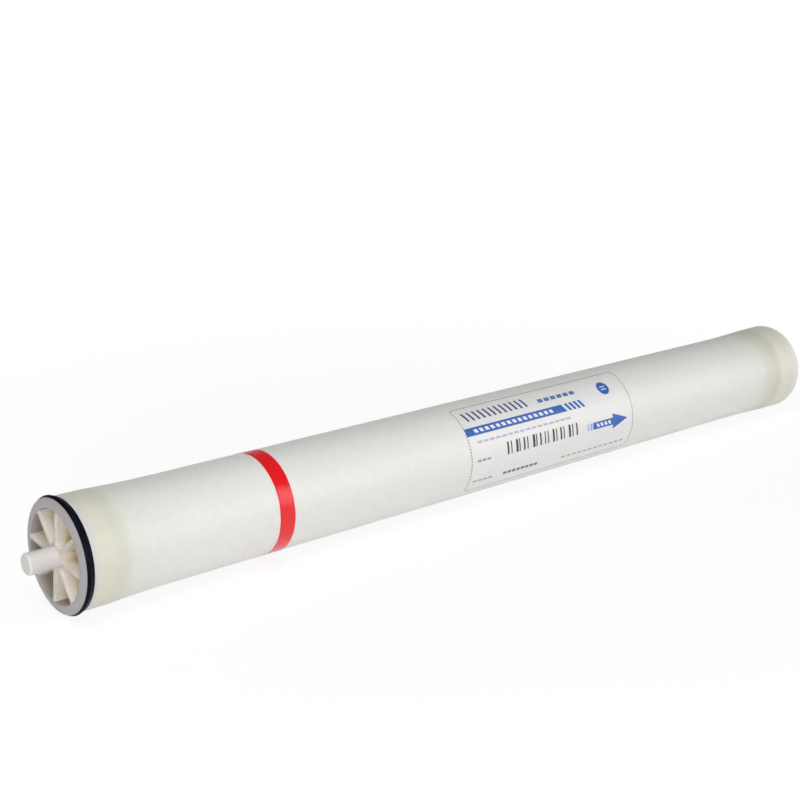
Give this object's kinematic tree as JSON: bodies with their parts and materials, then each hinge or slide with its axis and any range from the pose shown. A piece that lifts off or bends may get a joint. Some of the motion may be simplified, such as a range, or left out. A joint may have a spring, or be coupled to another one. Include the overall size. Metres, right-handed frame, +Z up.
{
  "type": "reverse osmosis membrane element",
  "caption": "Long spiral-wound membrane cartridge in a fibreglass shell, with spoked end caps, a lip seal at the feed end and a central tube that carries off the filtered water.",
  "frame": {"origin": "on the element's axis, midway between the tips of its two permeate stubs", "axes": "+X along the axis with the flow, from the feed end to the concentrate end; +Z up; the label faces -Y"},
  "size_m": [1.016, 0.1024, 0.1024],
  "materials": {
    "tube_plastic": "turned",
    "plug_plastic": "moulded",
    "membrane_leaf": "cut edges",
    "cap_plastic": "moulded",
    "fibreglass": "satin",
    "seal_rubber": "moulded",
    "red_tape": "gloss",
    "label_film": "satin"
  },
  "bodies": {
    "root": {"permeate_tube": "tube_plastic", "feed_tube_plug": "plug_plastic", "membrane_roll": "membrane_leaf", "feed_end_cap": "cap_plastic", "concentrate_end_cap": "cap_plastic", "fibreglass_shell": "fibreglass", "brine_seal": "seal_rubber", "marking_band": "red_tape", "label": "label_film"}
  },
  "joints": []
}
